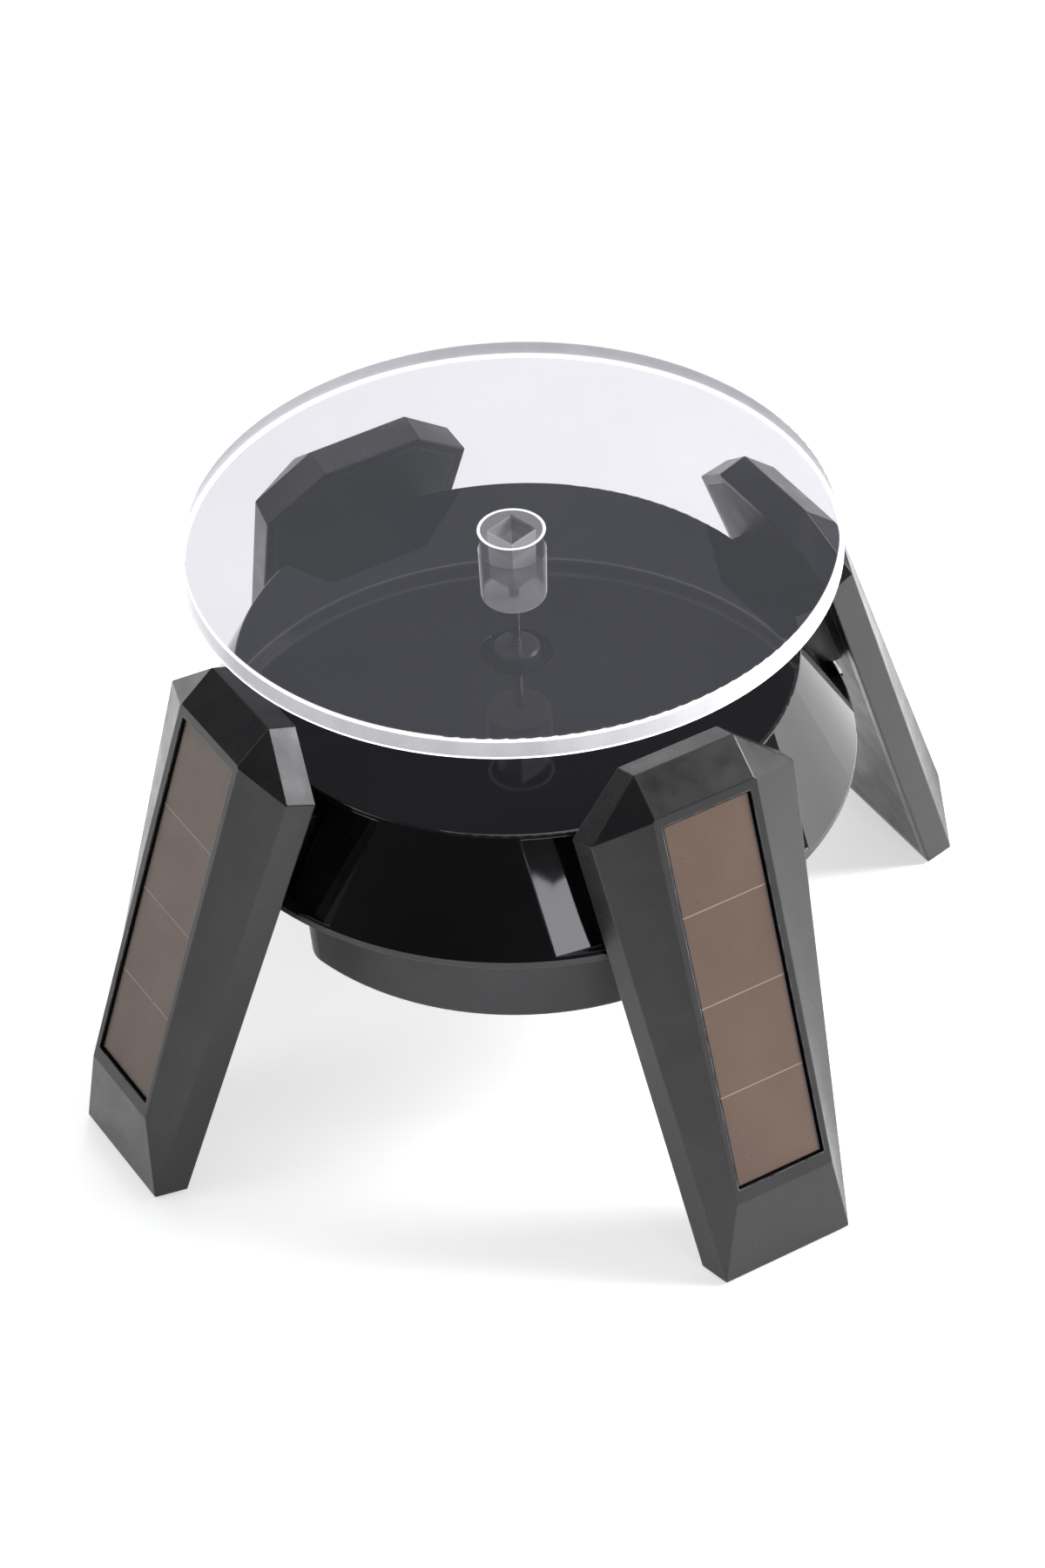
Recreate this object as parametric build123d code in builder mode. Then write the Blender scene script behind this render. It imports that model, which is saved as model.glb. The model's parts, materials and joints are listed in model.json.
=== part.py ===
from build123d import *

import os
from math import acos, atan2, cos, degrees, hypot, pi, radians, sin, tan

os.makedirs("parts", exist_ok=True)

# Driving dimensions, in millimetres. Z is up, the turntable axis is the Z axis, the floor is z = 0.
LEG_AZIMUTHS = (45, 135, 225, 315)
QUARTERS = 4
UP = (Align.CENTER, Align.CENTER, Align.MIN)
OUTWARD = (Align.MIN, Align.CENTER, Align.MIN)

# Turntable
DISC_TOP = 105.0
DISC_THICK = 4.0
DISC_RADIUS = 57.5
DISC_DRAFT = 0.7
DISC_EDGE = 0.5
HUB_RADIUS = 6.0
HUB_BOTTOM = 90.4
SOCKET_SIDE = 6.0
SOCKET_FLOOR = 94.6
PIN_RADIUS = 0.9
PIN_BOTTOM = 63.0
PIN_TOP = 93.4

# Body shells
TOP_Z = 78.0
TOP_RADIUS = 49.8
RIM_Z = 58.2
RIM_RADIUS = 60.0
RIM_LIP = 1.2
WALL = 2.0
CUP_RADIUS = 51.0
CUP_BOTTOM = 36.4
CUP_TAPER = 3.6
CENTRE_HOLE_RADIUS = 6.5
BAY_HALF_WIDTH = 15.2
BAY_BACK = 46.0
BAY_TOP = 75.4
FACET_HALF_WIDTH = 25.7
FACET_DEPTH = 2.0
FACET_BOTTOM = 58.9
FACET_TOP = 77.3
GROOVE_DEPTH_RADIUS = 43.0
GROOVE_WIDTH = 6.0
GROOVE_MOUTH = 6.5

# Legs, in the plane of the leg's inner face: s across, u up the slope, n out of the face
LEG_TILT = 19.0
LEG_FOOT_RADIUS = 80.3
FOOT_Z = 0.5
SLAB_THICK = 5.7
FACE_N = 10.0
SHOULDER_U = 86.5
CROWN_U = 95.5
CROWN_HALF = 9.9
SHOULDER_HALF_IN = 20.9
SHOULDER_HALF_OUT = 20.3
FOOT_HALF_IN = 14.1
FOOT_HALF_OUT = 12.8
FACE_BOTTOM_U = 14.5
FACE_TOP_U = 88.6
FACE_HALF_TOP = 10.3
FACE_HALF_BOTTOM = 9.9
LEG_WALL = 2.0
LEG_EDGE = 0.35
PLATE_THICK = 2.4
PAD_RADIUS = 83.1
PAD_SIZE = (3.8, 19.0)
PAD_TOP = 1.2

# Solar panels
PANEL_WIDTH = 17.0
PANEL_LENGTH = 69.0
PANEL_THICK = 1.2
PANEL_MID_U = 51.9
RECESS_DEPTH = 1.8
RECESS_GAP = 0.3

# Leg arms and their screws
ARM_INNER = 41.5
ARM_HALF = 12.8
ARM_TOP = 72.0
ARM_SCREW_RADIUS = 47.0
COVER_SCREW_RADIUS = 43.0
LEG_SCREWS = ((-8.0, 56.0), (8.0, 56.0))

# Fasteners
SCREW_SHANK = 1.45
SCREW_HOLE = 1.5
SCREW_HEAD = 2.6
HEAD_THICK = 1.8
LOW_HEAD = 1.2

# Gear train
MODULE = 0.5
PRESSURE_ANGLE = 20.0
BACKLASH = 0.16
DEDENDUM = 0.62
PINION_ADDENDUM = 0.45
WHEEL_ADDENDUM = 0.4
PINION_TEETH = 14
WHEEL_TEETH = 42
OUTPUT_TEETH = 64
LAYER_1 = 60.5
LAYER_2 = 64.3
LAYER_3 = 68.1
GEAR_THICK = 3.0
ARBOR_RADIUS = 1.0
RUNNING_CLEARANCE = 0.06
SLEEVE_RADIUS = 4.2
SLEEVE_TOP = 79.6
JOURNAL_RADIUS = 3.0
HUB_Z = 59.7
HUB_TOP = 72.0
GEAR_HUB_RADIUS = 1.8
CHASSIS_Z = 57.5
CHASSIS_THICK = 2.0
CHASSIS_RADIUS = 38.6
BRIDGE_Z = 72.2
BRIDGE_THICK = 1.6
MOTOR_RADIUS = 12.2
MOTOR_LENGTH = 12.3
MOTOR_CENTRE = (0.0, 26.0)
MOTOR_SCREWS = ((-8.5, 26.0), (8.5, 26.0))
POSTS = ((-33, -3), (33, -3), (-20, 28), (28, 20))
PILLARS = ((-14, -14), (32, 14), (5, 35))

# Battery, door and switch
BATTERY_Y = -18.5
BATTERY_Z = 46.2
BATTERY_RADIUS = 7.1
BATTERY_LENGTH = 49.0
POCKET_LENGTH = 55.0
POCKET_WIDTH = 15.4
POCKET_TOP = 54.0
DOOR_LENGTH = 58.0
DOOR_WIDTH = 19.0
DOOR_THICK = 1.8
DOOR_GAP = 0.3
HINGE_RADIUS = 0.7
SWITCH_CENTRE = (24.0, 6.0)
SWITCH_TRAVEL = 2.4
BOARD_CENTRE = (-22.0, 9.0)
BOARD_Z = 42.0
BOARD_STANDS = ((-28, 4), (-16, 14))


def save(part, name):
    """Label one finished piece and write it as its own STEP file."""
    part.label = name
    export_step(part, f"parts/{name}.step")


def save_on_legs(part, name):
    """Write one copy of a leg piece at each of the four leg azimuths."""
    for number, azimuth in enumerate(LEG_AZIMUTHS, start=1):
        save(part.rotate(Axis.Z, azimuth), f"{name}_{number}")


# ---------------------------------------------------------------- turntable

with BuildPart() as turntable_disc:
    with BuildSketch(Plane.XY.offset(DISC_TOP)):
        Circle(DISC_RADIUS - DISC_DRAFT)
    with BuildSketch(Plane.XY.offset(DISC_TOP - DISC_THICK)):
        Circle(DISC_RADIUS)
    loft()
    fillet(turntable_disc.edges().filter_by(GeomType.CIRCLE), DISC_EDGE)
    with BuildSketch(Plane.XY.offset(DISC_TOP - DISC_THICK)):
        Circle(HUB_RADIUS)
    extrude(amount=HUB_BOTTOM - (DISC_TOP - DISC_THICK), taper=1.2)
    fillet(turntable_disc.edges().sort_by(Axis.Z)[0], 1.3)
    with BuildSketch(Plane.XY.offset(DISC_TOP)):
        Rectangle(SOCKET_SIDE, SOCKET_SIDE, rotation=60)
    extrude(amount=SOCKET_FLOOR - DISC_TOP, taper=1.0, mode=Mode.SUBTRACT)
    with Locations((0, 0, HUB_BOTTOM)):
        Cylinder(PIN_RADIUS, PIN_TOP - HUB_BOTTOM, align=UP, mode=Mode.SUBTRACT)
save(turntable_disc.part, "turntable_disc")

with BuildPart() as spindle_pin:
    with Locations((0, 0, PIN_BOTTOM)):
        Cylinder(PIN_RADIUS, PIN_TOP - PIN_BOTTOM, align=UP)
    chamfer(spindle_pin.edges().group_by(Axis.Z)[0], 0.3)
save(spindle_pin.part, "spindle_pin")


# ---------------------------------------------------------------- body shells

def cover_section(inset, top, bottom, hole):
    """Half section of the cover's outside, or of its inside when it is inset by the wall."""
    slope = (RIM_RADIUS - TOP_RADIUS) / (TOP_Z - RIM_Z)
    top_radius = TOP_RADIUS - inset + (TOP_Z - top) * slope
    bottom_radius = RIM_RADIUS - inset + (RIM_Z - bottom) * slope
    Polyline((hole, bottom), (hole, top), (top_radius, top), (bottom_radius, bottom), close=True)


def facet_section(z):
    """What is cut from the cone on one side of a leg bay at height z, leaving a sloping facet."""
    radius = RIM_RADIUS - (z - RIM_Z) * (RIM_RADIUS - TOP_RADIUS) / (TOP_Z - RIM_Z)
    outer = (radius ** 2 - FACET_HALF_WIDTH ** 2) ** 0.5
    inner = (radius ** 2 - BAY_HALF_WIDTH ** 2) ** 0.5 - FACET_DEPTH
    with BuildSketch(Plane.XY.offset(z)) as section:
        Polygon((outer, FACET_HALF_WIDTH), (inner, BAY_HALF_WIDTH), (inner, 0), (inner + 20, 0),
                (inner + 20, FACET_HALF_WIDTH), align=None)
    return section.sketch


with BuildPart() as bay_facets:
    loft([facet_section(FACET_BOTTOM), facet_section(FACET_TOP)], ruled=True)
    mirror(about=Plane.XZ)

with BuildPart() as cover_cavity:
    with BuildSketch(Plane.XZ):
        with BuildLine():
            cover_section(2.25, TOP_Z - WALL, RIM_Z - 1, 0)
        make_face()
    revolve(axis=Axis.Z)
    with PolarLocations(BAY_BACK - WALL, QUARTERS, start_angle=LEG_AZIMUTHS[0]):
        Box(30, 2 * (BAY_HALF_WIDTH + WALL), TOP_Z, align=OUTWARD, mode=Mode.SUBTRACT)
    with PolarLocations(0, QUARTERS, start_angle=LEG_AZIMUTHS[0]):
        add(bay_facets.part.moved(Location((-2 * WALL, 0, 0))), mode=Mode.SUBTRACT)

with BuildPart() as top_cover:
    with BuildSketch(Plane.XZ):
        with BuildLine():
            cover_section(0, TOP_Z, RIM_Z, 0)
        make_face()
    revolve(axis=Axis.Z)
    add(cover_cavity.part, mode=Mode.SUBTRACT)
    with PolarLocations(BAY_BACK, QUARTERS, start_angle=LEG_AZIMUTHS[0]):
        Box(30, 2 * BAY_HALF_WIDTH, BAY_TOP, align=OUTWARD, mode=Mode.SUBTRACT)
    with PolarLocations(0, QUARTERS, start_angle=LEG_AZIMUTHS[0]):
        add(bay_facets.part, mode=Mode.SUBTRACT)
    fillet(top_cover.edges().filter_by(GeomType.CIRCLE).group_by(Axis.Z)[-1], 0.6)
    with PolarLocations(BAY_BACK - WALL - 1, QUARTERS, start_angle=LEG_AZIMUTHS[0]):
        Box(WALL + 2, 2 * ARM_HALF + 0.6, ARM_TOP + 0.3, align=OUTWARD, mode=Mode.SUBTRACT)
    with PolarLocations(COVER_SCREW_RADIUS, QUARTERS):
        with Locations((0, 0, RIM_Z + 0.4)):
            Cylinder(3, TOP_Z - WALL - RIM_Z - 0.2, align=UP)
            Cylinder(SCREW_HOLE, 12, align=UP, mode=Mode.SUBTRACT)
    Cylinder(CENTRE_HOLE_RADIUS, 200, mode=Mode.SUBTRACT)
save(top_cover.part, "top_cover")


def near_leg(vertex):
    """True for a sketch vertex beside one of the four leg azimuths."""
    return abs(abs(vertex.X) - abs(vertex.Y)) < 5


with BuildSketch(Plane.XY.offset(RIM_Z - RIM_LIP)) as cup_outline:
    Circle(CUP_RADIUS)
    with PolarLocations(GROOVE_DEPTH_RADIUS, QUARTERS, start_angle=LEG_AZIMUTHS[0]):
        Rectangle(20, GROOVE_WIDTH, align=(Align.MIN, Align.CENTER), mode=Mode.SUBTRACT)
    mouths = cup_outline.vertices().filter_by(near_leg).filter_by(
        lambda v: hypot(v.X, v.Y) > GROOVE_DEPTH_RADIUS + 4)
    fillet(mouths, GROOVE_MOUTH)

CUP_FLOOR = CUP_BOTTOM + WALL
HINGE_Y = BATTERY_Y + DOOR_WIDTH / 2 - DOOR_THICK / 2
HINGE_Z = CUP_BOTTOM + DOOR_THICK / 2

with BuildPart() as lower_housing:
    add(cup_outline.sketch)
    extrude(amount=-(RIM_Z - RIM_LIP - CUP_BOTTOM), taper=CUP_TAPER)
    fillet(lower_housing.edges().group_by(Axis.Z)[0], 1.0)
    with BuildSketch(Plane.XY.offset(RIM_Z - RIM_LIP)):
        Circle(RIM_RADIUS - 0.1)
    extrude(amount=RIM_LIP)
    with BuildSketch(Plane.XY.offset(RIM_Z)):
        add(cup_outline.sketch)
        offset(amount=-WALL, kind=Kind.INTERSECTION)
    extrude(amount=-(RIM_Z - CUP_FLOOR), taper=CUP_TAPER, mode=Mode.SUBTRACT)
    with Locations((0, BATTERY_Y, CUP_BOTTOM)):
        Box(DOOR_LENGTH + 4, DOOR_WIDTH + 4, 4.2, align=UP)
        Box(POCKET_LENGTH + 2.4, POCKET_WIDTH + 2.4, POCKET_TOP + 1.2 - CUP_BOTTOM, align=UP)
        Box(POCKET_LENGTH, POCKET_WIDTH, POCKET_TOP - CUP_BOTTOM, align=UP, mode=Mode.SUBTRACT)
        Box(DOOR_LENGTH + 2 * DOOR_GAP, DOOR_WIDTH + 2 * DOOR_GAP, DOOR_THICK + DOOR_GAP,
            align=UP, mode=Mode.SUBTRACT)
    with Locations((0, HINGE_Y, HINGE_Z)):
        Cylinder(HINGE_RADIUS + RUNNING_CLEARANCE, DOOR_LENGTH + 3.2, rotation=(0, 90, 0),
                 mode=Mode.SUBTRACT)
    with Locations(*[(x, y, CUP_BOTTOM + 1) for x, y in BOARD_STANDS]):
        Cylinder(1.6, BOARD_Z - CUP_BOTTOM - 1, align=UP)
    with Locations(*[(x, y, CUP_BOTTOM + 1) for x, y in POSTS]):
        Cylinder(3, CHASSIS_Z - CUP_BOTTOM - 1, align=UP)
    with Locations(*[(x, y, CHASSIS_Z - 10) for x, y in POSTS]):
        Cylinder(SCREW_HOLE, 10, align=UP, mode=Mode.SUBTRACT)
    with PolarLocations(COVER_SCREW_RADIUS, QUARTERS):
        with Locations((0, 0, CUP_BOTTOM + 1)):
            Cylinder(3.9, RIM_Z - CUP_BOTTOM - 1, align=UP)
        with Locations((0, 0, 0)):
            Cylinder(SCREW_HEAD + 0.2, 50, align=UP, mode=Mode.SUBTRACT)
            Cylinder(SCREW_HOLE, RIM_Z + 1, align=UP, mode=Mode.SUBTRACT)
    with PolarLocations(ARM_SCREW_RADIUS, QUARTERS, start_angle=LEG_AZIMUTHS[0]):
        Cylinder(SCREW_HOLE, RIM_Z + 1, align=UP, mode=Mode.SUBTRACT)
    with Locations((*SWITCH_CENTRE, CUP_BOTTOM - 1)):
        Box(7.4, 3.6, WALL + 2, align=UP, mode=Mode.SUBTRACT)
save(lower_housing.part, "lower_housing")


# ---------------------------------------------------------------- legs, built at azimuth 0

LEG_PLANE = Plane(
    origin=(LEG_FOOT_RADIUS, 0, 0),
    x_dir=(0, 1, 0),
    z_dir=(cos(radians(LEG_TILT)), 0, sin(radians(LEG_TILT))),
)


def foot_u(n):
    """Distance up the slope at which a plane n out of the inner face meets the foot level."""
    return (FOOT_Z - n * sin(radians(LEG_TILT))) / cos(radians(LEG_TILT))


def mirrored(points):
    """A closed outline symmetrical about the leg's middle, from its right-hand points."""
    return points + [(-s, u) for s, u in reversed(points)]


def slab_outline(n, foot_half, shoulder_half, inset=0.0):
    """Outline of the leg slab n out of its inner face, drawn in by an even wall when inset."""
    return mirrored([
        (foot_half - inset, foot_u(n) + inset),
        (shoulder_half - 1.04 * inset, SHOULDER_U - 0.44 * inset),
        (CROWN_HALF - 0.36 * inset, CROWN_U - inset),
    ])


def face_outline(inset=0.0):
    """Outline of the leg's outer face, with its two top corners clipped."""
    return mirrored([
        (FACE_HALF_BOTTOM - inset, FACE_BOTTOM_U + inset),
        (FACE_HALF_TOP - inset, FACE_TOP_U - inset - 0.4),
        (FACE_HALF_TOP - inset - 0.4, FACE_TOP_U - inset),
    ])


def polygon_at(n, points):
    """A filled outline in the plane n out of the leg's inner face."""
    with BuildSketch(LEG_PLANE.offset(n)) as outline:
        Polygon(*points, align=None)
    return outline.sketch


def leg_screw_places(n):
    """Where the two screws of one leg cross the plane n out of its inner face."""
    plane = LEG_PLANE.offset(n)
    return [plane * Location((s, u, 0)) for s, u in LEG_SCREWS]


PANEL_PLANE = LEG_PLANE.offset(FACE_N - RECESS_DEPTH)
INNER_FACE = polygon_at(0, slab_outline(0, FOOT_HALF_IN, SHOULDER_HALF_IN))
WIDEST = polygon_at(SLAB_THICK, slab_outline(SLAB_THICK, FOOT_HALF_OUT, SHOULDER_HALF_OUT))
CAVITY_OUTLINE = slab_outline(0, FOOT_HALF_IN, SHOULDER_HALF_IN, LEG_WALL)
CAVITY_MOUTH = polygon_at(-0.1, CAVITY_OUTLINE)
CAVITY_WAIST = polygon_at(3.6, CAVITY_OUTLINE)

with BuildPart() as leg_shell:
    loft([INNER_FACE, WIDEST], ruled=True)
    loft([WIDEST, polygon_at(FACE_N, face_outline())], ruled=True)
    fillet(leg_shell.edges(), LEG_EDGE)
    loft([CAVITY_MOUTH, CAVITY_WAIST], ruled=True, mode=Mode.SUBTRACT)
    loft([CAVITY_WAIST, polygon_at(6.6, face_outline(1.0))], ruled=True, mode=Mode.SUBTRACT)
    with Locations(*leg_screw_places(PLATE_THICK)):
        Cylinder(3.2, 4.6, align=UP)
        Cylinder(SCREW_HOLE, 4.2, align=UP, mode=Mode.SUBTRACT)
    with BuildSketch(PANEL_PLANE):
        with Locations((0, PANEL_MID_U)):
            Rectangle(PANEL_WIDTH + 2 * RECESS_GAP, PANEL_LENGTH + 2 * RECESS_GAP)
    extrude(amount=RECESS_DEPTH + 1, mode=Mode.SUBTRACT)
    with Locations(LEG_PLANE * Location((0, PANEL_MID_U, FACE_N - 4))):
        Cylinder(1.5, 4, align=UP, mode=Mode.SUBTRACT)
    with Locations((PAD_RADIUS, 0, 0)):
        Box(PAD_SIZE[0] + 0.2, PAD_SIZE[1] + 0.2, PAD_TOP, align=UP, mode=Mode.SUBTRACT)
save_on_legs(leg_shell.part, "leg_shell")

with BuildPart() as leg_cover:
    with BuildSketch(LEG_PLANE):
        Polygon(*slab_outline(0, FOOT_HALF_IN, SHOULDER_HALF_IN, LEG_WALL + 0.15), align=None)
    extrude(amount=PLATE_THICK)
    with BuildPart(mode=Mode.PRIVATE) as arm:
        with Locations((ARM_INNER, 0, RIM_Z)):
            Box(30, 2 * ARM_HALF, ARM_TOP - RIM_Z, align=OUTWARD)
        split(bisect_by=LEG_PLANE.offset(1.0), keep=Keep.BOTTOM)
    add(arm.part)
    with Locations((ARM_INNER, 0, ARM_TOP - 6.5)):
        Box(30, 8, 4.5, align=OUTWARD, mode=Mode.SUBTRACT)
    with Locations((ARM_SCREW_RADIUS, 0, RIM_Z)):
        Cylinder(SCREW_HOLE, 6.6, align=UP, mode=Mode.SUBTRACT)
    with Locations(*leg_screw_places(0)):
        Cylinder(SCREW_HEAD + 0.2, LOW_HEAD, align=UP, mode=Mode.SUBTRACT)
        Cylinder(SCREW_HOLE, PLATE_THICK, align=UP, mode=Mode.SUBTRACT)
save_on_legs(leg_cover.part, "leg_cover")

with BuildPart() as solar_panel:
    with BuildSketch(PANEL_PLANE):
        with Locations((0, PANEL_MID_U)):
            Rectangle(PANEL_WIDTH, PANEL_LENGTH)
    extrude(amount=PANEL_THICK)
    chamfer(solar_panel.edges().filter_by(
        lambda edge: LEG_PLANE.to_local_coords(edge @ 0.5).Z > FACE_N - RECESS_DEPTH + PANEL_THICK - 0.1
    ), 0.15)
save_on_legs(solar_panel.part, "solar_panel")

with BuildPart() as foot_pad:
    with Locations((PAD_RADIUS, 0, 0)):
        Box(*PAD_SIZE, PAD_TOP, align=UP)
    chamfer(foot_pad.edges().group_by(Axis.Z)[0], 0.3)
save_on_legs(foot_pad.part, "foot_pad")


# ---------------------------------------------------------------- fasteners

def screw(head_thick, shank, hole_depth=0.7):
    """A cross-recessed screw with the underside of its head at z = 0 and its shank below."""
    with BuildPart() as piece:
        Cylinder(SCREW_HEAD, head_thick, align=UP)
        chamfer(piece.edges().group_by(Axis.Z)[-1], 0.35)
        with Locations((0, 0, head_thick - hole_depth)):
            Box(2.8, 0.6, 2, align=UP, mode=Mode.SUBTRACT)
            Box(0.6, 2.8, 2, align=UP, mode=Mode.SUBTRACT)
        with Locations((0, 0, -shank)):
            Cylinder(SCREW_SHANK, shank, align=UP)
        chamfer(piece.edges().group_by(Axis.Z)[0], 0.5)
    return piece.part


def screw_set(piece, places, name):
    """One node holding a copy of the same screw at each place."""
    with BuildPart() as group:
        with Locations(*places):
            add(piece)
    save(group.part, name)


FLIP = Location((0, 0, 0), (180, 0, 0))
leg_places = []
for azimuth in LEG_AZIMUTHS:
    turn = Location((0, 0, 0), (0, 0, azimuth))
    leg_places += [turn * place * FLIP for place in leg_screw_places(LOW_HEAD)]
screw_set(screw(LOW_HEAD, 5.0), leg_places, "leg_cover_screws")

arm_places = [Location((0, 0, 0), (0, 0, azimuth))
              * Location((ARM_SCREW_RADIUS, 0, RIM_Z - RIM_LIP)) * FLIP for azimuth in LEG_AZIMUTHS]
screw_set(screw(HEAD_THICK, 7.4), arm_places, "leg_arm_screws")

cover_places = [Location((0, 0, 0), (0, 0, azimuth))
                * Location((COVER_SCREW_RADIUS, 0, 50)) * FLIP for azimuth in (0, 90, 180, 270)]
screw_set(screw(HEAD_THICK, 18.0), cover_places, "cover_screws")

screw_set(screw(HEAD_THICK, 9.0),
          [Location((x, y, CHASSIS_Z + CHASSIS_THICK)) for x, y in POSTS], "chassis_screws")
screw_set(screw(HEAD_THICK, 8.0),
          [Location((x, y, BRIDGE_Z + BRIDGE_THICK)) for x, y in PILLARS], "bridge_screws")
screw_set(screw(1.0, 5.0, 0.5),
          [Location((x, y, CHASSIS_Z + CHASSIS_THICK - 1)) for x, y in MOTOR_SCREWS], "motor_screws")


# ---------------------------------------------------------------- gear train

def direction(start, end):
    """Angle in degrees of the line from one centre to another."""
    return degrees(atan2(end[1] - start[1], end[0] - start[0]))


def involute(angle):
    """The involute function."""
    return tan(angle) - angle


def gear_outline(teeth, addendum, tooth_angle):
    """Involute gear outline about the origin with one tooth centred on tooth_angle degrees."""
    pitch = MODULE * teeth / 2
    base = pitch * cos(radians(PRESSURE_ANGLE))
    root = pitch - DEDENDUM
    start = max(base, root)
    half_pitch = pi / (2 * teeth) - BACKLASH / 4 / pitch + involute(radians(PRESSURE_ANGLE))
    flank = []
    for step in range(5):
        radius = start + (pitch + addendum - start) * step / 4
        flank.append((radius, half_pitch - involute(acos(min(1.0, base / radius)))))
    if root < base:
        flank.insert(0, (root, flank[0][1]))
    points = []
    for tooth in range(teeth):
        middle = radians(tooth_angle) + 2 * pi * tooth / teeth
        points += [(r * cos(middle - half), r * sin(middle - half)) for r, half in flank]
        points += [(r * cos(middle + half), r * sin(middle + half)) for r, half in reversed(flank)]
    return points


def gear(teeth, addendum, tooth_angle, centre, layer):
    """One toothed disc standing on the given layer."""
    with BuildPart() as disc:
        with BuildSketch(Plane((*centre, layer))):
            Polygon(*gear_outline(teeth, addendum, tooth_angle), align=None)
        extrude(amount=GEAR_THICK)
    return disc.part


MESH_NEAR = MODULE * (PINION_TEETH + WHEEL_TEETH) / 2
MESH_FAR = MODULE * (PINION_TEETH + OUTPUT_TEETH) / 2
AXIS = (0.0, 0.0)
CENTRE_A = (MOTOR_CENTRE[0] + MESH_NEAR * cos(radians(-20)),
            MOTOR_CENTRE[1] + MESH_NEAR * sin(radians(-20)))
REACH_A = hypot(*CENTRE_A)
ANGLE_B = direction(AXIS, CENTRE_A) - degrees(
    acos((REACH_A ** 2 + MESH_FAR ** 2 - MESH_NEAR ** 2) / (2 * REACH_A * MESH_FAR)))
CENTRE_B = (MESH_FAR * cos(radians(ANGLE_B)), MESH_FAR * sin(radians(ANGLE_B)))

with BuildPart() as motor_pinion:
    add(gear(PINION_TEETH, PINION_ADDENDUM, direction(MOTOR_CENTRE, CENTRE_A), MOTOR_CENTRE,
             LAYER_1))
    with Locations((*MOTOR_CENTRE, LAYER_1)):
        Cylinder(ARBOR_RADIUS, GEAR_THICK, align=UP, mode=Mode.SUBTRACT)
save(motor_pinion.part, "motor_pinion")

with BuildPart() as compound_gear_a:
    add(gear(WHEEL_TEETH, WHEEL_ADDENDUM, direction(CENTRE_A, MOTOR_CENTRE) + 180 / WHEEL_TEETH,
             CENTRE_A, LAYER_1))
    add(gear(PINION_TEETH, PINION_ADDENDUM, direction(CENTRE_A, CENTRE_B), CENTRE_A, LAYER_2))
    with Locations((*CENTRE_A, HUB_Z)):
        Cylinder(GEAR_HUB_RADIUS, HUB_TOP - HUB_Z, align=UP)
        Cylinder(ARBOR_RADIUS + RUNNING_CLEARANCE, HUB_TOP - HUB_Z, align=UP, mode=Mode.SUBTRACT)
save(compound_gear_a.part, "compound_gear_a")

with BuildPart() as compound_gear_b:
    add(gear(WHEEL_TEETH, WHEEL_ADDENDUM, direction(CENTRE_B, CENTRE_A) + 180 / WHEEL_TEETH,
             CENTRE_B, LAYER_2))
    add(gear(PINION_TEETH, PINION_ADDENDUM, direction(CENTRE_B, AXIS), CENTRE_B, LAYER_3))
    with Locations((*CENTRE_B, HUB_Z)):
        Cylinder(GEAR_HUB_RADIUS, HUB_TOP - HUB_Z, align=UP)
        Cylinder(ARBOR_RADIUS + RUNNING_CLEARANCE, HUB_TOP - HUB_Z, align=UP, mode=Mode.SUBTRACT)
save(compound_gear_b.part, "compound_gear_b")

with BuildPart() as output_gear:
    add(gear(OUTPUT_TEETH, WHEEL_ADDENDUM, direction(AXIS, CENTRE_B) + 180 / OUTPUT_TEETH,
             AXIS, LAYER_3))
    with Locations((0, 0, HUB_Z)):
        Cylinder(SLEEVE_RADIUS, SLEEVE_TOP - HUB_Z, align=UP)
    chamfer(output_gear.edges().group_by(Axis.Z)[-1], 0.4)
    with Locations((0, 0, CHASSIS_Z - 0.5)):
        Cylinder(JOURNAL_RADIUS, HUB_Z - CHASSIS_Z + 0.5, align=UP)
    with Locations((0, 0, PIN_BOTTOM)):
        Cylinder(PIN_RADIUS, 40, align=UP, mode=Mode.SUBTRACT)
save(output_gear.part, "output_gear")

with BuildPart() as gear_arbors:
    with Locations((*CENTRE_A, CHASSIS_Z), (*CENTRE_B, CHASSIS_Z)):
        Cylinder(ARBOR_RADIUS, BRIDGE_Z + BRIDGE_THICK - CHASSIS_Z, align=UP)
save(gear_arbors.part, "gear_arbors")

with BuildPart() as gear_chassis:
    with Locations((0, 0, CHASSIS_Z)):
        Cylinder(CHASSIS_RADIUS, CHASSIS_THICK, align=UP)
        Cylinder(JOURNAL_RADIUS + RUNNING_CLEARANCE, CHASSIS_THICK, align=UP, mode=Mode.SUBTRACT)
    with Locations(*[(x, y, CHASSIS_Z) for x, y in PILLARS]):
        Cylinder(2.5, BRIDGE_Z - CHASSIS_Z, align=UP)
    with Locations(*[(x, y, BRIDGE_Z - 8.2) for x, y in PILLARS]):
        Cylinder(SCREW_HOLE, 10, align=UP, mode=Mode.SUBTRACT)
    with Locations(*[(x, y, CHASSIS_Z) for x, y in (*POSTS, *MOTOR_SCREWS)]):
        Cylinder(SCREW_HOLE, 5, align=UP, mode=Mode.SUBTRACT)
    with Locations(*[(x, y, CHASSIS_Z + CHASSIS_THICK - 1) for x, y in MOTOR_SCREWS]):
        Cylinder(SCREW_HEAD + 0.2, 5, align=UP, mode=Mode.SUBTRACT)
    with Locations((*CENTRE_A, CHASSIS_Z), (*CENTRE_B, CHASSIS_Z)):
        Cylinder(ARBOR_RADIUS, 5, align=UP, mode=Mode.SUBTRACT)
    with Locations((*MOTOR_CENTRE, CHASSIS_Z)):
        Cylinder(2.0, 5, align=UP, mode=Mode.SUBTRACT)
save(gear_chassis.part, "gear_chassis")

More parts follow.
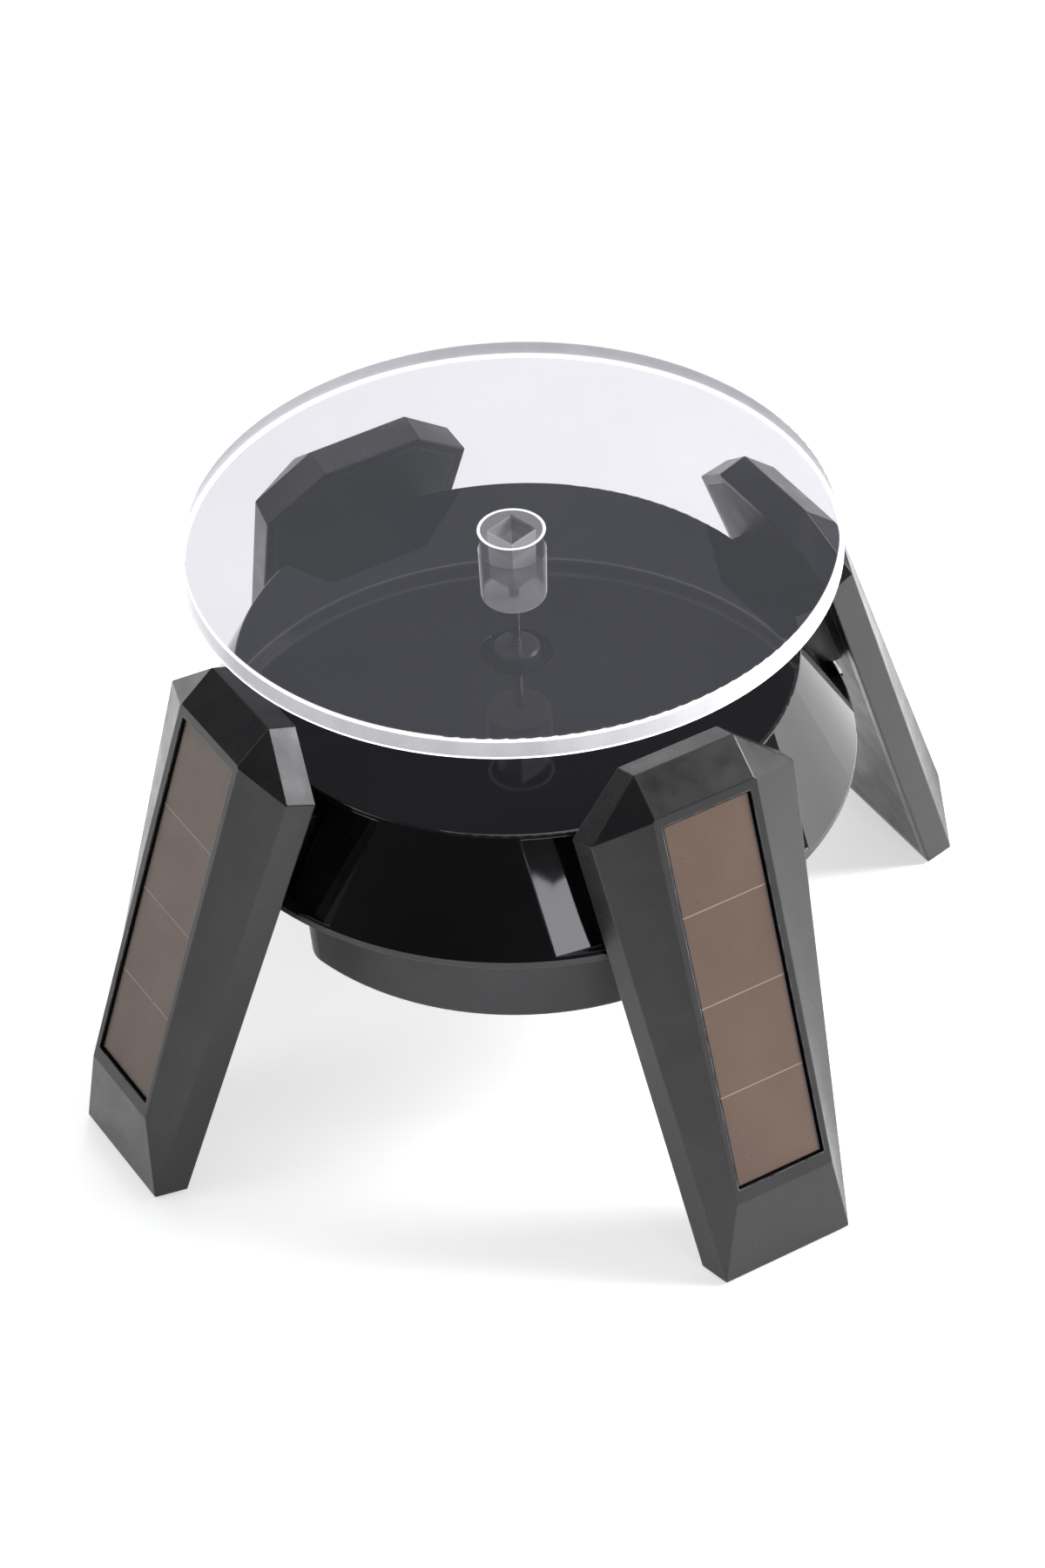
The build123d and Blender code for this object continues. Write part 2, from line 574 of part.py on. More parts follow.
with BuildPart() as gear_bridge:
    with BuildSketch(Plane.XY.offset(BRIDGE_Z)):
        with Locations(*PILLARS):
            Circle(4.5)
        make_hull()
    extrude(amount=BRIDGE_THICK)
    with Locations((0, 0, BRIDGE_Z)):
        Cylinder(SLEEVE_RADIUS + RUNNING_CLEARANCE, BRIDGE_THICK, align=UP, mode=Mode.SUBTRACT)
    with Locations(*[(x, y, BRIDGE_Z) for x, y in PILLARS]):
        Cylinder(SCREW_HOLE, BRIDGE_THICK, align=UP, mode=Mode.SUBTRACT)
    with Locations((*CENTRE_A, BRIDGE_Z), (*CENTRE_B, BRIDGE_Z)):
        Cylinder(ARBOR_RADIUS, BRIDGE_THICK, align=UP, mode=Mode.SUBTRACT)
save(gear_bridge.part, "gear_bridge")


# ---------------------------------------------------------------- motor

with BuildPart() as motor_can:
    with Locations((*MOTOR_CENTRE, CHASSIS_Z - MOTOR_LENGTH)):
        Cylinder(MOTOR_RADIUS, MOTOR_LENGTH, align=UP)
    fillet(motor_can.edges().group_by(Axis.Z)[0], 1.2)
    with Locations((*MOTOR_CENTRE, CHASSIS_Z - MOTOR_LENGTH + 2)):
        Cylinder(ARBOR_RADIUS + RUNNING_CLEARANCE, MOTOR_LENGTH, align=UP, mode=Mode.SUBTRACT)
    with Locations(*[(x, y, CHASSIS_Z - 4.2) for x, y in MOTOR_SCREWS]):
        Cylinder(SCREW_HOLE, 5, align=UP, mode=Mode.SUBTRACT)
save(motor_can.part, "motor_can")

with BuildPart() as motor_shaft:
    with Locations((*MOTOR_CENTRE, CHASSIS_Z - MOTOR_LENGTH + 2.3)):
        Cylinder(ARBOR_RADIUS, LAYER_1 + GEAR_THICK + 0.2 - (CHASSIS_Z - MOTOR_LENGTH + 2.3), align=UP)
save(motor_shaft.part, "motor_shaft")


# ---------------------------------------------------------------- battery, door, switch, board

with BuildPart() as battery_cell:
    with Locations((1, BATTERY_Y, BATTERY_Z)):
        Cylinder(BATTERY_RADIUS, BATTERY_LENGTH, rotation=(0, 90, 0))
    fillet(battery_cell.edges().filter_by(GeomType.CIRCLE), 0.6)
    with Locations((1 + BATTERY_LENGTH / 2 + 0.6, BATTERY_Y, BATTERY_Z)):
        Cylinder(2.7, 1.2, rotation=(0, 90, 0))
save(battery_cell.part, "battery_cell")

with BuildPart() as battery_plus_contact:
    with Locations((27.1, BATTERY_Y, BATTERY_Z)):
        Box(0.8, 11, 12)
save(battery_plus_contact.part, "battery_plus_contact")

with BuildPart() as battery_spring_contact:
    with Locations((-27.25, BATTERY_Y, BATTERY_Z)):
        Box(0.5, 11, 12)
    with BuildLine():
        coil = Helix(pitch=1.02, height=3.06, radius=4.2,
                     center=(-27.0, BATTERY_Y, BATTERY_Z), direction=(1, 0, 0))
    with BuildSketch(Plane(coil @ 0, z_dir=coil % 0)):
        Circle(0.42)
    sweep(is_frenet=True)
save(battery_spring_contact.part, "battery_spring_contact")

with BuildPart() as battery_door:
    with Locations((0, HINGE_Y, CUP_BOTTOM)):
        Box(DOOR_LENGTH, DOOR_WIDTH - DOOR_THICK / 2, DOOR_THICK,
            align=(Align.CENTER, Align.MAX, Align.MIN))
    with Locations((0, HINGE_Y, HINGE_Z)):
        Cylinder(DOOR_THICK / 2, DOOR_LENGTH, rotation=(0, 90, 0))
        Cylinder(HINGE_RADIUS, DOOR_LENGTH + 2.8, rotation=(0, 90, 0))
    with Locations(*[(0, BATTERY_Y - 7 + 1.6 * rib, CUP_BOTTOM) for rib in range(4)]):
        Box(16, 0.7, 0.5, align=UP, mode=Mode.SUBTRACT)
save(battery_door.part, "battery_door")

with BuildPart() as switch_body:
    with Locations((*SWITCH_CENTRE, CUP_FLOOR)):
        Box(12, 6, 5, align=UP)
        Box(7.4, 3.6, 3.4, align=UP, mode=Mode.SUBTRACT)
save(switch_body.part, "switch_body")

with BuildPart() as switch_slider:
    with Locations((SWITCH_CENTRE[0] - SWITCH_TRAVEL / 2, SWITCH_CENTRE[1], CUP_BOTTOM + 0.2)):
        Box(4.4, 2.8, 5.0, align=UP)
    with Locations(*[(SWITCH_CENTRE[0] - SWITCH_TRAVEL / 2 + x, SWITCH_CENTRE[1], CUP_BOTTOM + 0.2)
                     for x in (-1.2, 0, 1.2)]):
        Box(0.5, 2.8, 0.4, align=UP, mode=Mode.SUBTRACT)
save(switch_slider.part, "switch_slider")

with BuildPart() as circuit_board:
    with Locations((*BOARD_CENTRE, BOARD_Z)):
        Box(18, 16, 1.2, align=UP)
    with Locations((BOARD_CENTRE[0] + 5, BOARD_CENTRE[1] - 3, BOARD_Z + 1.2)):
        Box(5, 4, 1.2, align=UP)
save(circuit_board.part, "circuit_board")

with BuildPart() as storage_capacitor:
    with Locations((BOARD_CENTRE[0] - 2, BOARD_CENTRE[1] + 2, BOARD_Z + 1.2)):
        Cylinder(3.5, 9, align=UP)
    fillet(storage_capacitor.edges().group_by(Axis.Z)[-1], 0.5)
save(storage_capacitor.part, "storage_capacitor")
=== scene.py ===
"""Looks for the solar turntable display stand: materials, floor, light and camera around the frame."""
import json
from math import cos, pi, radians, sin

import bpy
from mathutils import Matrix, Vector

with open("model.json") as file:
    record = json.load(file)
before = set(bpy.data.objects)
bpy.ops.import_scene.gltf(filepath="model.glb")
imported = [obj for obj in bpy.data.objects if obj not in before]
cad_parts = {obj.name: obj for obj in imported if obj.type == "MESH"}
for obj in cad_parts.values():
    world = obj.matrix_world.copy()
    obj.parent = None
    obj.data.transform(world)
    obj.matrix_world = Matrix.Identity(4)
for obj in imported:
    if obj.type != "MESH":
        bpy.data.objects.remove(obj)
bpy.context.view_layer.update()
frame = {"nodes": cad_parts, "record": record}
scene = bpy.context.scene
nodes = frame["nodes"]
MM = 0.001


# ---------------------------------------------------------------- node helpers

class Shader:
    """One procedural material: a Principled shader and the nodes that feed it."""

    def __init__(self, name, **settings):
        self.name = name
        self.material = bpy.data.materials.new(name)
        self.material.use_nodes = True
        self.tree = self.material.node_tree
        self.principled = self.tree.nodes["Principled BSDF"]
        self.output = self.tree.nodes["Material Output"]
        self.place = self.add("ShaderNodeTexCoord").outputs["Object"]
        for socket, value in settings.items():
            self.principled.inputs[socket.replace("_", " ")].default_value = value

    def add(self, kind, **settings):
        """A new node with the given properties."""
        node = self.tree.nodes.new(kind)
        for key, value in settings.items():
            setattr(node, key, value)
        return node

    def link(self, source, target):
        self.tree.links.new(source, target)

    def axes(self):
        """The object's own x, y and z."""
        split = self.add("ShaderNodeSeparateXYZ")
        self.link(self.place, split.inputs["Vector"])
        return split.outputs

    def radius(self, x, y):
        """Distance from the object's upright axis."""
        flat = self.add("ShaderNodeCombineXYZ")
        self.link(x, flat.inputs["X"])
        self.link(y, flat.inputs["Y"])
        length = self.add("ShaderNodeVectorMath", operation="LENGTH")
        self.link(flat.outputs["Vector"], length.inputs[0])
        return length.outputs["Value"]

    def noise(self, scale, detail=3.0, stretch=(1, 1, 1)):
        """Noise over the object's own place, as a 0 to 1 value. Scale is in features per metre."""
        mapping = self.add("ShaderNodeMapping")
        mapping.inputs["Scale"].default_value = stretch
        texture = self.add("ShaderNodeTexNoise")
        texture.inputs["Scale"].default_value = scale
        texture.inputs["Detail"].default_value = detail
        texture.inputs["Roughness"].default_value = 0.55
        self.link(self.place, mapping.inputs["Vector"])
        self.link(mapping.outputs["Vector"], texture.inputs["Vector"])
        return texture.outputs["Fac"]

    def remap(self, source, low, high, to_low=0.0, to_high=1.0):
        """Source from low..high to to_low..to_high, clamped."""
        node = self.add("ShaderNodeMapRange")
        node.inputs["From Min"].default_value = low
        node.inputs["From Max"].default_value = high
        node.inputs["To Min"].default_value = to_low
        node.inputs["To Max"].default_value = to_high
        self.link(source, node.inputs["Value"])
        return node.outputs["Result"]

    def math(self, operation, a, b=None):
        """One maths step; a and b are sockets or numbers."""
        node = self.add("ShaderNodeMath", operation=operation)
        for index, value in enumerate((a, b)):
            if value is None:
                continue
            if isinstance(value, (int, float)):
                node.inputs[index].default_value = value
            else:
                self.link(value, node.inputs[index])
        return node.outputs["Value"]

    def most(self, a, b):
        return self.math("MAXIMUM", a, b)

    def times(self, a, b):
        return self.math("MULTIPLY", a, b)

    def away(self, source, target):
        """How far source is from target, either side."""
        return self.math("ABSOLUTE", self.math("SUBTRACT", source, target))

    def mix(self, factor, dark, light):
        """Colour between dark and light; each is a colour or a socket."""
        node = self.add("ShaderNodeMix", data_type="RGBA")
        self.link(factor, node.inputs["Factor"])
        for socket, value in ((node.inputs[6], dark), (node.inputs[7], light)):
            if isinstance(value, tuple):
                socket.default_value = (*value, 1.0)
            else:
                self.link(value, socket)
        return node.outputs[2]

    def mix_shaders(self, factor, first, second):
        """The first shader where the factor is 0, the second where it is 1."""
        node = self.add("ShaderNodeMixShader")
        self.link(factor, node.inputs["Fac"])
        self.link(first, node.inputs[1])
        self.link(second, node.inputs[2])
        return node.outputs["Shader"]

    def bump(self, height, strength, distance):
        """Fine relief, added on top of any relief that is already there."""
        node = self.add("ShaderNodeBump")
        node.inputs["Strength"].default_value = strength
        node.inputs["Distance"].default_value = distance
        self.link(height, node.inputs["Height"])
        normal = self.principled.inputs["Normal"]
        if normal.is_linked:
            self.link(normal.links[0].from_socket, node.inputs["Normal"])
        self.link(node.outputs["Normal"], normal)

    def rounded_normal(self, radius):
        """The normal that the surface would have with its edges rounded to the radius."""
        bevel = self.add("ShaderNodeBevel", samples=6)
        bevel.inputs["Radius"].default_value = radius
        return bevel.outputs["Normal"]

    def edges(self, radius):
        """0 on flat faces, rising to 1 within the given radius of a sharp edge."""
        normal = self.rounded_normal(radius)
        geometry = self.add("ShaderNodeNewGeometry")
        dot = self.add("ShaderNodeVectorMath", operation="DOT_PRODUCT")
        self.link(normal, dot.inputs[0])
        self.link(geometry.outputs["Normal"], dot.inputs[1])
        return self.remap(dot.outputs["Value"], 0.97, 0.86)

    def soften(self, radius):
        """Rounds the highlights on sharp edges."""
        self.link(self.rounded_normal(radius), self.principled.inputs["Normal"])

    def colour(self, source):
        self.link(source, self.principled.inputs["Base Color"])

    def rough(self, source):
        self.link(source, self.principled.inputs["Roughness"])


# ---------------------------------------------------------------- shared kinds of material

MOULD_GRAIN = 2600
# How far in from sharp edges the painted highlight on them reaches.
MOULD_EDGE = 0.45 * MM


def moulded(name, dark, light, rough, relief=0.12, edge_highlight=None, **settings):
    """Moulded plastic: clouded colour, uneven gloss, fine grain, and painted highlights: sharp edges
    coloured lighter in patches.
    """
    shader = Shader(name, **settings)
    shader.soften(0.25 * MM)
    body = shader.mix(shader.remap(shader.noise(45, detail=4), 0.35, 0.65), dark, light)
    if edge_highlight:
        # Painted highlight: sharp edges are coloured lighter, in patches, where rounded edges would
        # catch the light.
        patches = shader.remap(shader.noise(300), 0.35, 0.6)
        body = shader.mix(shader.times(shader.edges(MOULD_EDGE), patches), body, edge_highlight)
    shader.colour(body)
    shader.rough(shader.remap(shader.noise(160, detail=5), 0.3, 0.7, rough - 0.05, rough + 0.07))
    shader.bump(shader.noise(MOULD_GRAIN, detail=2), relief, 0.02 * MM)
    return shader


def metal(name, colour, rough, stretch=(1, 1, 30)):
    """Drawn or turned metal with fine lines along its length and dull patches."""
    shader = Shader(name, Metallic=1.0)
    lines = shader.noise(900, detail=2, stretch=stretch)
    shade = tuple(0.72 * c for c in colour)
    shader.colour(shader.mix(shader.remap(lines, 0.3, 0.7), shade, colour))
    shader.rough(shader.remap(shader.noise(240), 0.3, 0.7, rough - 0.06, rough + 0.1))
    shader.bump(lines, 0.15, 0.01 * MM)
    return shader


# ---------------------------------------------------------------- the clear disc

DISC_TOP = 105 * MM
DISC_UNDER = 101 * MM
RIM_START = 56.55 * MM
HUB_WALL = 5.7 * MM
HUB_FOOT = 90.4 * MM
SOCKET_FLOOR = 94.2 * MM
SOCKET_REACH = 4.7 * MM
SHEET_TINTS = (0.682, 0.678, 0.694), (0.692, 0.688, 0.704)
SHEET_GLOSS_IOR = 1.2
# Painted sheen on the disc's top face: glow colours and strength.
PAINTED_SHEEN_TINTS = (0.74, 0.76, 0.88), (0.84, 0.86, 0.98)
PAINTED_SHEEN_GLOW = 0.064
# Painted glow on the disc's rim, hub and socket: its strength, and the share that inner faces keep.
PAINTED_GLOW_STRENGTH = 1.5
INNER_PAINTED_GLOW = 0.75


def clear_sheet(shader, top_face, inside, scratches):
    """Tinted see-through sheet: gloss on the outside only, and on the top face a faint painted sheen,
    a bluish glow standing in for light scattered by the hazy surface.
    """
    outside = shader.math("SUBTRACT", 1.0, inside)
    cloud = shader.remap(shader.noise(30), 0.3, 0.7)
    through = shader.add("ShaderNodeBsdfTransparent")
    shader.link(shader.mix(cloud, *SHEET_TINTS), through.inputs["Color"])
    gloss = shader.add("ShaderNodeBsdfGlossy")
    shader.link(shader.remap(scratches, 0.4, 0.75, 0.16, 0.26), gloss.inputs["Roughness"])
    fresnel = shader.add("ShaderNodeFresnel")
    fresnel.inputs["IOR"].default_value = SHEET_GLOSS_IOR
    sheet = shader.mix_shaders(shader.times(fresnel.outputs["Fac"], outside),
                               through.outputs["BSDF"], gloss.outputs["BSDF"])
    # Painted sheen: a faint bluish glow added on the top face, standing in for light that its hazy
    # surface scatters.
    haze_and_sheen = shader.add("ShaderNodeEmission")
    haze_and_sheen.inputs["Strength"].default_value = PAINTED_SHEEN_GLOW
    shader.link(shader.mix(cloud, *PAINTED_SHEEN_TINTS), haze_and_sheen.inputs["Color"])
    sheet_with_painted_sheen = shader.add("ShaderNodeAddShader")
    shader.link(sheet, sheet_with_painted_sheen.inputs[0])
    shader.link(haze_and_sheen.outputs["Emission"], sheet_with_painted_sheen.inputs[1])
    return shader.mix_shaders(shader.times(top_face, outside), sheet, sheet_with_painted_sheen.outputs["Shader"])


def clear_disc():
    """Clear cast acrylic. Its rim, hub and socket gather light from all round; that light is painted
    in, as a milky white colour that glows.
    """
    shader = Shader("clear_disc", IOR=1.49, Emission_Strength=PAINTED_GLOW_STRENGTH)
    x, y, z = shader.axes()
    radius = shader.radius(x, y)
    inside = shader.add("ShaderNodeNewGeometry").outputs["Backfacing"]
    scratches = shader.noise(160, detail=6, stretch=(14, 1, 1))
    top_face = shader.remap(z, DISC_TOP - 0.3 * MM, DISC_TOP - 0.1 * MM)

    # Painted glow on the rim: milky white over its width, whiter on lines just below the top face and
    # just above the underside.
    rim = shader.remap(radius, RIM_START, RIM_START + 0.3 * MM)
    lines = shader.most(shader.remap(z, DISC_TOP - 0.8 * MM, DISC_TOP - 0.4 * MM),
                        shader.remap(z, DISC_UNDER + 0.7 * MM, DISC_UNDER + 0.4 * MM))
    streaks = shader.remap(shader.noise(120, stretch=(1, 1, 0.05)), 0.3, 0.7, -0.08, 0.08)
    rim_painted_white = shader.math("ADD", streaks, shader.remap(lines, 0.0, 1.0, 0.84, 0.98))

    # Painted highlight on the hub walls: milkier where they are seen at a grazing angle, and near the
    # hub's foot.
    facing = shader.add("ShaderNodeLayerWeight")
    facing.inputs["Blend"].default_value = 0.5
    outline = shader.remap(facing.outputs["Facing"], 0.60, 0.88, 0.16, 1.0)
    wall = shader.remap(radius, HUB_WALL - 0.3 * MM, HUB_WALL)
    foot = shader.remap(z, HUB_FOOT + 1.6 * MM, HUB_FOOT + 0.4 * MM)
    below = shader.remap(z, DISC_UNDER - 0.05 * MM, DISC_UNDER - 0.3 * MM)
    hub = shader.times(below, shader.most(shader.times(wall, outline), shader.times(foot, 0.8)))

    # Painted highlight: a milky ring on the top face over the hub wall, with a faint wash inside it.
    ring = shader.remap(shader.away(radius, HUB_WALL), 0.36 * MM, 0.16 * MM, 0.0, 0.95)
    ring = shader.most(ring, shader.remap(radius, HUB_WALL, HUB_WALL - 0.2 * MM, 0.0, 0.16))
    ring = shader.times(ring, top_face)
    # Painted glow, faint, on the socket walls.
    socket = shader.times(
        shader.remap(radius, SOCKET_REACH, SOCKET_REACH - 0.2 * MM, 0.0, 0.3),
        shader.times(shader.remap(z, SOCKET_FLOOR, SOCKET_FLOOR + 0.3 * MM),
                     shader.remap(z, DISC_TOP - 0.05 * MM, DISC_TOP - 0.1 * MM)))

    # All the painted glow together, a little weaker on inner faces. Where it is 1, the glowing milky
    # shader replaces the clear sheet.
    painted_glow = shader.most(shader.times(rim, rim_painted_white), hub)
    painted_glow = shader.times(painted_glow, shader.remap(inside, 0.0, 1.0, 1.0, INNER_PAINTED_GLOW))
    painted_glow = shader.most(painted_glow, shader.most(ring, socket))
    # Painted glow: the glowing areas are coloured near white, whiter on the lines near the top face
    # and the underside.
    shader.colour(shader.mix(lines, (0.70, 0.70, 0.72), (0.88, 0.88, 0.89)))
    shader.rough(shader.remap(scratches, 0.3, 0.7, 0.12, 0.25))
    # Painted highlight: the rim's lines and the strongest hub and ring parts glow white. The rest of
    # the painted glow is faint.
    painted_highlight = shader.times(lines, shader.remap(radius, RIM_START, RIM_START + 0.2 * MM))
    painted_highlight = shader.most(painted_highlight, shader.remap(shader.most(hub, ring), 0.4, 1.0, 0.0, 0.35))
    shader.link(shader.mix(painted_highlight, (0.03, 0.03, 0.032), (1.0, 1.0, 1.0)),
                shader.principled.inputs["Emission Color"])
    sheet = clear_sheet(shader, top_face, inside, scratches)
    shader.link(shader.mix_shaders(painted_glow, sheet, shader.principled.outputs["BSDF"]),
                shader.output.inputs["Surface"])
    return shader


# ---------------------------------------------------------------- the solar panels

# The cell borders are found from height, because the four legs lean evenly.
LEG_TILT = radians(19)
PANEL_FACE = 9.4 * MM
PANEL_HALF_WIDTH = 8.5 * MM
CELL_LINES_UP_SLOPE = 34.65 * MM, 51.9 * MM, 69.15 * MM
CELL_LINE = 0.16 * MM
FINE_LINE_PITCH = 0.55 * MM


def solar_cell():
    """Brown thin-film cells under clear resin, with light borders and fine lines up the panel."""
    shader = Shader("solar_cell", IOR=1.5)
    x, y, z = shader.axes()
    across = shader.times(shader.math("MINIMUM", shader.away(x, y),
                                      shader.math("ABSOLUTE", shader.math("ADD", x, y))),
                          0.5 ** 0.5)
    lines = None
    for up_slope in CELL_LINES_UP_SLOPE:
        height = up_slope * cos(LEG_TILT) + PANEL_FACE * sin(LEG_TILT)
        line = shader.remap(shader.away(z, height), CELL_LINE, 0.5 * CELL_LINE)
        lines = line if lines is None else shader.most(lines, line)
    fine = shader.math("SINE", shader.times(across, 2 * pi / FINE_LINE_PITCH))
    fine = shader.remap(fine, 0.7, 1.0, 0.0, 0.25)
    cloud = shader.remap(shader.noise(60, detail=5, stretch=(1, 1, 0.4)), 0.3, 0.7)
    cells = shader.mix(cloud, (0.092, 0.052, 0.033), (0.118, 0.069, 0.046))
    cells = shader.mix(fine, cells, (0.17, 0.12, 0.095))
    border = shader.remap(across, PANEL_HALF_WIDTH - 0.45 * MM, PANEL_HALF_WIDTH - 0.25 * MM)
    cells = shader.mix(border, cells, (0.055, 0.042, 0.038))
    shader.colour(shader.mix(lines, cells, (0.25, 0.19, 0.16)))
    shader.rough(shader.remap(shader.noise(200, detail=4), 0.3, 0.7, 0.26, 0.4))
    shader.bump(lines, 0.3, 0.03 * MM)
    shader.bump(shader.noise(500), 0.04, 0.02 * MM)
    return shader


# ---------------------------------------------------------------- the other materials

def gloss_cover():
    """Piano-black moulding: deep gloss with faint haze, dust and hairline swirls."""
    shader = Shader("gloss_cover", IOR=1.55)
    shader.soften(0.3 * MM)
    cloud = shader.remap(shader.noise(40), 0.35, 0.65)
    shader.colour(shader.mix(cloud, (0.003, 0.003, 0.0035), (0.005, 0.005, 0.006)))
    haze_and_sheen = shader.remap(shader.noise(90, detail=6), 0.35, 0.7, 0.03, 0.07)
    swirl = shader.remap(shader.noise(700, detail=6, stretch=(1, 9, 1)), 0.66, 0.74, 0.0, 0.12)
    shader.rough(shader.math("ADD", haze_and_sheen, swirl))
    shader.bump(shader.noise(70, detail=2), 0.05, 0.05 * MM)
    return shader


def pad_rubber():
    """Matt rubber with a fine pebble and pale dust."""
    shader = Shader("pad_rubber", Specular_IOR_Level=0.3)
    dust = shader.remap(shader.noise(400, detail=6), 0.55, 0.75, 0.0, 0.3)
    shader.colour(shader.mix(dust, (0.02, 0.02, 0.02), (0.08, 0.08, 0.08)))
    shader.rough(shader.remap(shader.noise(300), 0.3, 0.7, 0.7, 0.9))
    shader.bump(shader.noise(1800, detail=3), 0.4, 0.05 * MM)
    return shader


def board():
    """Green circuit board: solder mask over copper tracks."""
    shader = Shader("board", Coat_Weight=0.3, Coat_Roughness=0.15)
    tracks = shader.add("ShaderNodeTexVoronoi", feature="DISTANCE_TO_EDGE")
    tracks.inputs["Scale"].default_value = 380
    shader.link(shader.place, tracks.inputs["Vector"])
    copper = shader.remap(tracks.outputs["Distance"], 0.04, 0.08, 1.0, 0.0)
    shader.colour(shader.mix(copper, (0.012, 0.09, 0.035), (0.05, 0.17, 0.06)))
    shader.rough(shader.remap(shader.noise(300), 0.3, 0.7, 0.3, 0.45))
    shader.bump(copper, 0.3, 0.05 * MM)
    return shader


LEG_BLACKS = (0.0042, 0.0042, 0.0050), (0.0072, 0.0072, 0.0082)
# The lighter colours given for edges below are painted highlights on sharp edges.
shaders = [
    clear_disc(),
    gloss_cover(),
    solar_cell(),
    moulded("satin_housing", (0.014, 0.014, 0.016), (0.021, 0.021, 0.024), 0.42,
            edge_highlight=(0.07, 0.07, 0.075)),
    moulded("leg_plastic", *LEG_BLACKS, 0.28, relief=0.05, edge_highlight=(0.16, 0.16, 0.165)),
    moulded("leg_inner_plastic", *LEG_BLACKS, 0.40, edge_highlight=(0.08, 0.08, 0.085)),
    pad_rubber(),
    moulded("gear_plastic", (0.68, 0.66, 0.60), (0.78, 0.76, 0.70), 0.4, Subsurface_Weight=0.1),
    moulded("drive_plastic", (0.03, 0.03, 0.034), (0.045, 0.045, 0.05), 0.3,
            edge_highlight=(0.25, 0.25, 0.26)),
    moulded("chassis_plastic", (0.015, 0.015, 0.017), (0.022, 0.022, 0.025), 0.5),
    moulded("door_plastic", (0.018, 0.018, 0.020), (0.027, 0.027, 0.03), 0.45,
            edge_highlight=(0.07, 0.07, 0.075)),
    moulded("switch_plastic", (0.02, 0.02, 0.02), (0.03, 0.03, 0.03), 0.5),
    moulded("slider_plastic", (0.25, 0.25, 0.26), (0.33, 0.33, 0.34), 0.35,
            edge_highlight=(0.5, 0.5, 0.5)),
    moulded("capacitor", (0.02, 0.025, 0.07), (0.03, 0.04, 0.10), 0.25),
    moulded("cell_sleeve", (0.50, 0.22, 0.05), (0.60, 0.28, 0.07), 0.2),
    board(),
    metal("pin_steel", (0.62, 0.62, 0.64), 0.22),
    metal("screw_steel", (0.45, 0.45, 0.46), 0.35, stretch=(1, 1, 1)),
    metal("motor_case", (0.52, 0.52, 0.53), 0.3, stretch=(1, 1, 20)),
    metal("contact_metal", (0.60, 0.58, 0.52), 0.3),
]
looks = {shader.name: shader.material for shader in shaders}

for subpart in frame["record"]["subparts"]:
    for material_slot in nodes[subpart["node"]].material_slots:
        material_slot.link = "OBJECT"
        material_slot.material = looks[subpart["material_slot"]]


# ---------------------------------------------------------------- floor, light and surroundings

FLOOR_GLOW = 0.58
WORLD_LIGHT_SIDE = (0.17, 0.98, 0.0)
WORLD_DARKEST, WORLD_LIGHTEST = 0.06, 0.52
WORLD_TINT = (0.94, 0.96, 1.0)
LIT_POINT = Vector((0, 0, 0.06))


def floor():
    """A plain white floor that also glows a little, as a light table does."""
    bpy.ops.mesh.primitive_plane_add(size=6.0, location=(0, 0, 0))
    plane = bpy.context.object
    plane.name = "floor"
    shader = Shader("floor", Specular_IOR_Level=0.2, Roughness=0.7,
                    Emission_Color=(1, 1, 1, 1), Emission_Strength=FLOOR_GLOW)
    shader.colour(shader.mix(shader.noise(4), (0.90, 0.90, 0.90), (0.92, 0.92, 0.92)))
    plane.data.materials.append(shader.material)


def studio_world():
    """Grey surroundings: dark in front of the stand, lighter behind it."""
    world = bpy.data.worlds.new("studio")
    world.use_nodes = True
    tree = world.node_tree
    background = tree.nodes["Background"]
    background.inputs["Strength"].default_value = 1.0
    place = tree.nodes.new("ShaderNodeTexCoord")
    dot = tree.nodes.new("ShaderNodeVectorMath")
    dot.operation = "DOT_PRODUCT"
    dot.inputs[1].default_value = WORLD_LIGHT_SIDE
    tree.links.new(place.outputs["Generated"], dot.inputs[0])
    ramp = tree.nodes.new("ShaderNodeMapRange")
    ramp.inputs["From Min"].default_value = -1.0
    ramp.inputs["From Max"].default_value = 1.0
    ramp.inputs["To Min"].default_value = WORLD_DARKEST
    ramp.inputs["To Max"].default_value = WORLD_LIGHTEST
    tree.links.new(dot.outputs["Value"], ramp.inputs["Value"])
    tint = tree.nodes.new("ShaderNodeMix")
    tint.data_type = "RGBA"
    tint.inputs[6].default_value = (0, 0, 0, 1)
    tint.inputs[7].default_value = (*WORLD_TINT, 1)
    tree.links.new(ramp.outputs["Result"], tint.inputs["Factor"])
    tree.links.new(tint.outputs[2], background.inputs["Color"])
    scene.world = world


